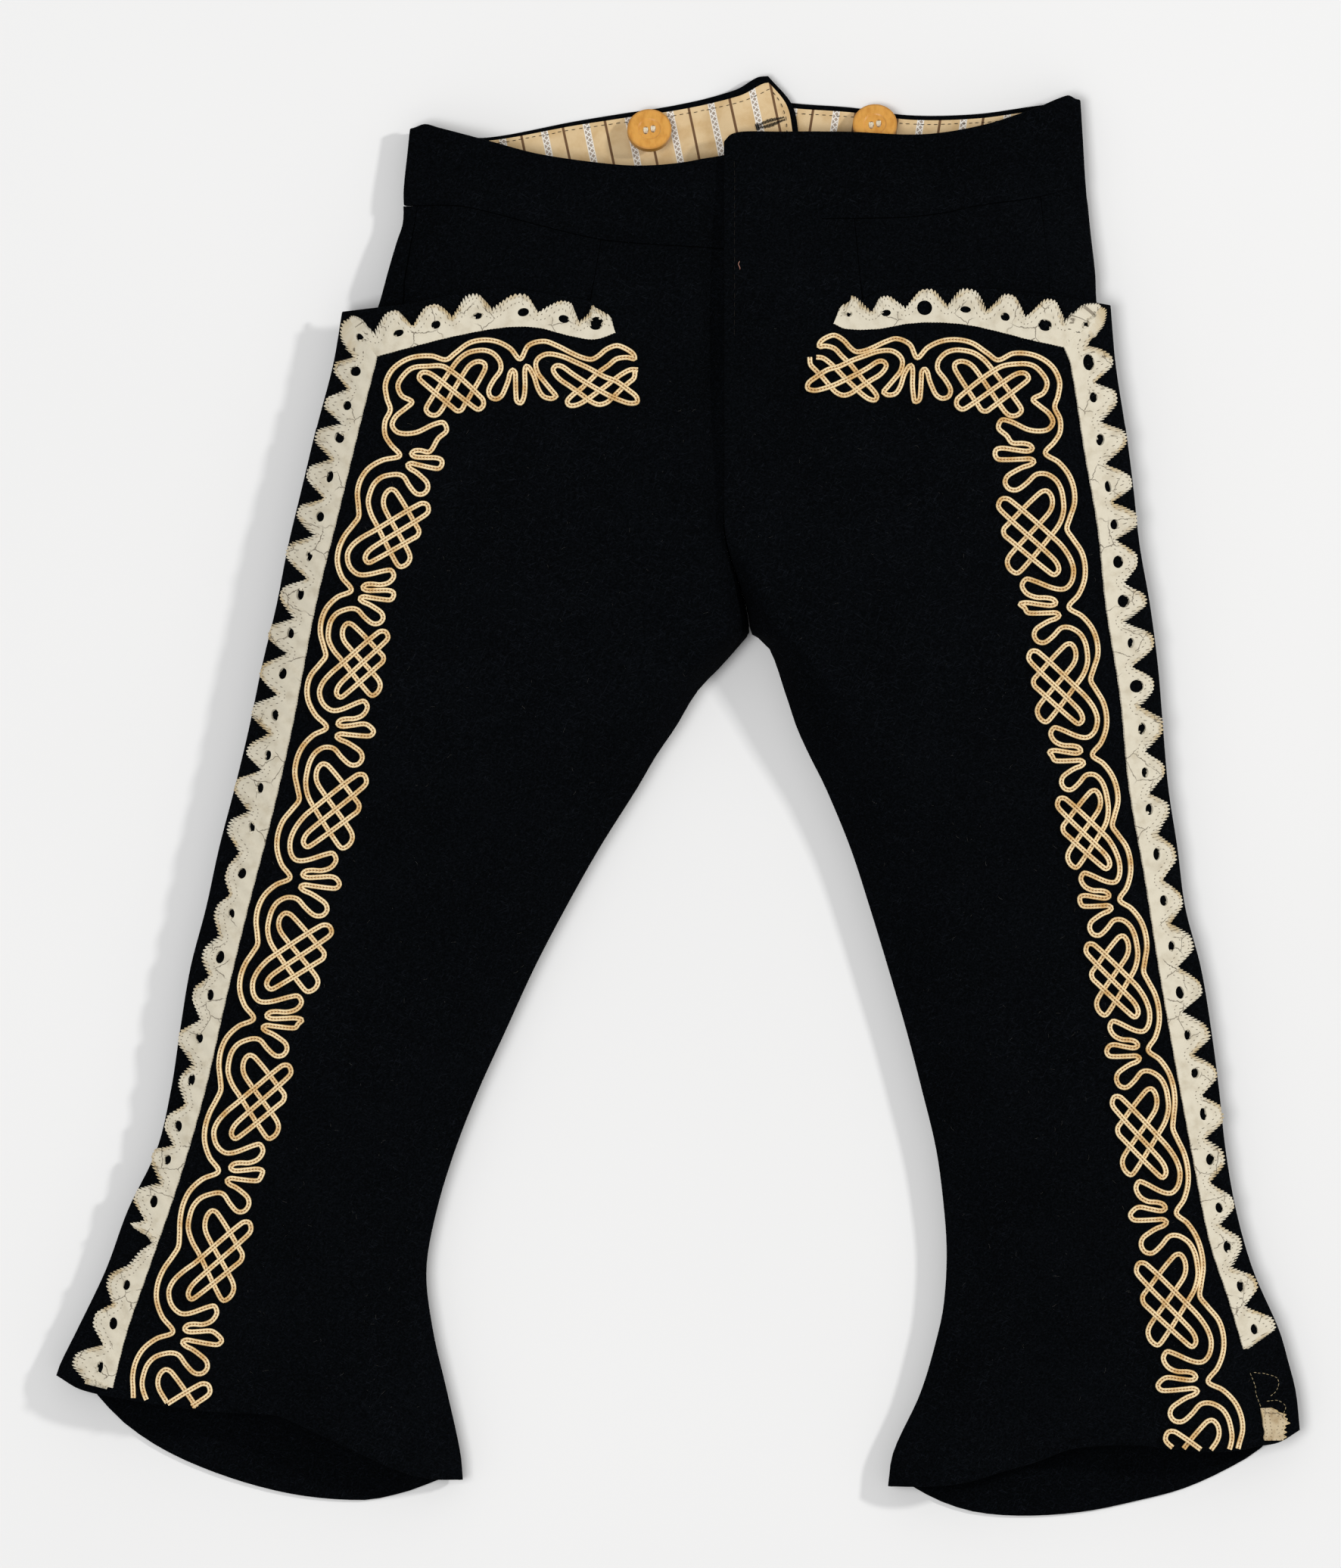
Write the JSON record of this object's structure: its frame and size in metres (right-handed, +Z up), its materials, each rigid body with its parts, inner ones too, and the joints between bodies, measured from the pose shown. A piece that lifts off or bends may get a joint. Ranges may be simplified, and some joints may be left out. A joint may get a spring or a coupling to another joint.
{
  "type": "child's riding trousers laid flat",
  "caption": "Flared wool trousers laid flat, front up, with scalloped leather and knotted soutache along the pockets and outer legs, open at waist and hems.",
  "frame": {"origin": "middle of the garment on the surface it lies on", "axes": "+X across the garment to the viewer's right, +Y from the hems to the waist, +Z up out of the front"},
  "size_m": [0.477, 0.552, 0.0308],
  "materials": {
    "wool": "black felted wool broadcloth, matt, with a few pale fibres",
    "lining": "striped cotton twill, washed",
    "leather": "alum-tawed skin, dry, worn and pierced",
    "braid": "flat soutache of two gold cords, with brown flecks",
    "button": "turned horn, amber, soft polish"
  },
  "bodies": {
    "root": {"front_left": "wool", "front_right": "wool", "hip_left": "wool", "hip_right": "wool", "back_left": "wool", "back_right": "wool", "waistband_front_left": "wool", "waistband_front_right": "wool", "waistband_back_left": "wool", "waistband_back_right": "wool", "lining_back_left": "lining", "lining_back_right": "lining", "button_left": "button", "button_right": "button", "leather_pocket_left": "leather", "leather_pocket_right": "leather", "leather_leg_left": "leather", "leather_leg_right": "leather", "leather_scrap_right": "leather", "braid_line_left": "braid", "braid_line_right": "braid", "braid_knots_left": "braid", "braid_knots_right": "braid"}
  },
  "joints": []
}
